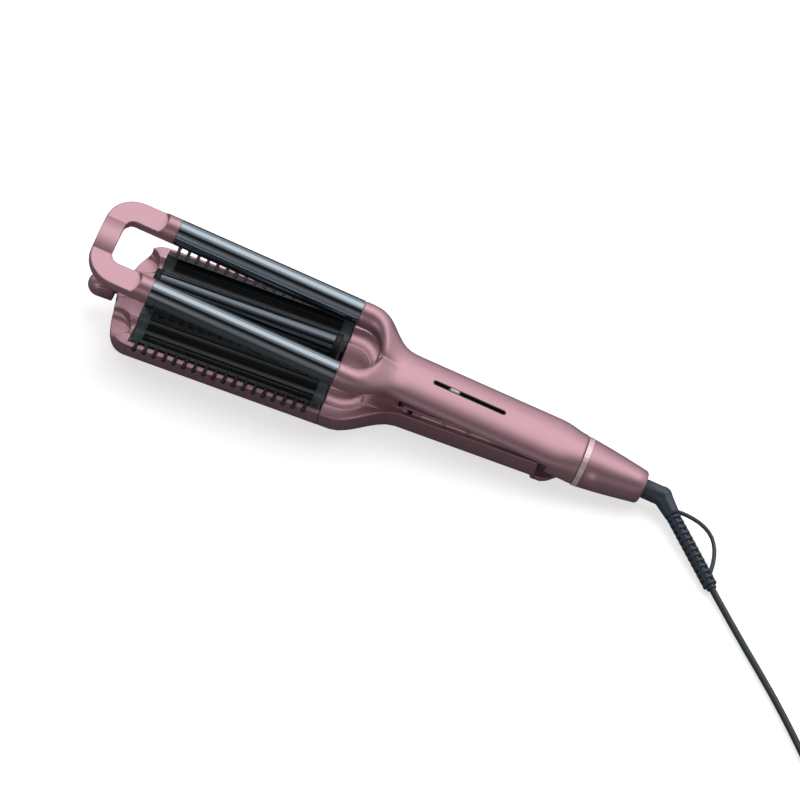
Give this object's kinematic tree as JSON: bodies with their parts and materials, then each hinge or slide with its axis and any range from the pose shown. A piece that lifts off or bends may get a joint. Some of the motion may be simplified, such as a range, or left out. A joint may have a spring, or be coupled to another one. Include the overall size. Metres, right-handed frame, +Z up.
{
  "type": "hair waver",
  "caption": "Hair waver with two clamping barrels over a troughed jaw with a raised middle barrel, a tip knob, combs, a slider and a swivel cord.",
  "frame": {"origin": "on the table under the middle of the tool without its cord", "axes": "+X from the tip to the tail along the lower jaw, +Y to the far side, +Z up from the table"},
  "size_m": [0.5821, 0.2865, 0.073],
  "materials": {
    "rose_metallic": "satin metallic rose paint",
    "light_ring": "satin pale rose",
    "barrel_coating": "glossy dark blue-grey ceramic coating",
    "black_plate": "glossy black ceramic coating",
    "black_plastic": "heat-resistant black plastic",
    "white_button": "white plastic",
    "board": "circuit board",
    "bare_metal": "bright steel",
    "slate_rubber": "slate soft plastic",
    "cord_jacket": "slate cord jacket"
  },
  "bodies": {
    "handle": {"handle_shell": "rose_metallic", "tail_housing": "rose_metallic", "tail_ring": "light_ring", "tail_cone": "rose_metallic", "barrel_near": "barrel_coating", "barrel_far": "barrel_coating", "root_collar_near": "rose_metallic", "root_collar_far": "rose_metallic", "heater_near": "bare_metal", "heater_far": "bare_metal", "tip_bridge": "rose_metallic", "slot_bezel": "black_plastic", "circuit_board": "board", "hinge_pin": "bare_metal", "hinge_spring": "bare_metal"},
    "slider": {"slider_button": "white_button"},
    "swivel": {"swivel_elbow": "slate_rubber", "cord_sleeve": "slate_rubber", "hanging_loop": "slate_rubber", "cord_lead": "cord_jacket", "cord_coil": "cord_jacket", "cord_end": "cord_jacket", "plug_body": "slate_rubber", "plug_pins": "bare_metal"},
    "lower_jaw": {"jaw_shell": "rose_metallic", "lever_shell": "rose_metallic", "lower_tip": "rose_metallic", "jaw_liner": "black_plastic", "plate_near": "black_plate", "plate_far": "black_plate", "comb_near": "black_plastic", "comb_far": "black_plastic", "lever_vents": "light_ring", "shell_screws": "bare_metal"},
    "lock": {"lock_button": "black_plastic"},
    "dial": {"dial_knob": "rose_metallic", "dial_shaft": "bare_metal"},
    "carriage": {"middle_barrel": "barrel_coating", "middle_heater": "bare_metal", "carrier_front": "black_plastic", "carrier_rear": "black_plastic"}
  },
  "joints": [
    {"name": "jaw_hinge", "type": "hinge", "parent": "handle", "child": "lower_jaw", "pos_m": [0.12892, 0, 0.014], "axis": [0, 1, 0], "range_deg": [0, 7], "stiffness_Nm_per_rad": 2, "springref_deg": -14.32},
    {"name": "slider_travel", "type": "slide", "parent": "handle", "child": "slider", "axis": [0.9925, 0, -0.1219], "range_m": [-0.009, 0.028]},
    {"name": "cord_swivel", "type": "hinge", "parent": "handle", "child": "swivel", "pos_m": [0.17746, 0, 0.01046], "axis": [0.9925, 0, -0.1219], "continuous": true},
    {"name": "dial_turn", "type": "hinge", "parent": "lower_jaw", "child": "dial", "pos_m": [-0.17858, 0, 0.0185], "axis": [1, 0, 0], "range_deg": [0, 180]},
    {"name": "barrel_lift", "type": "slide", "parent": "lower_jaw", "child": "carriage", "axis": [0, 0, 1], "range_m": [-0.006, 0]},
    {"name": "lock_travel", "type": "slide", "parent": "lower_jaw", "child": "lock", "axis": [1, 0, 0], "range_m": [0, 0.004]}
  ],
  "couplings": [
    {"joint": "dial_turn", "follows": "barrel_lift", "rad_per_m": -523.59}
  ]
}
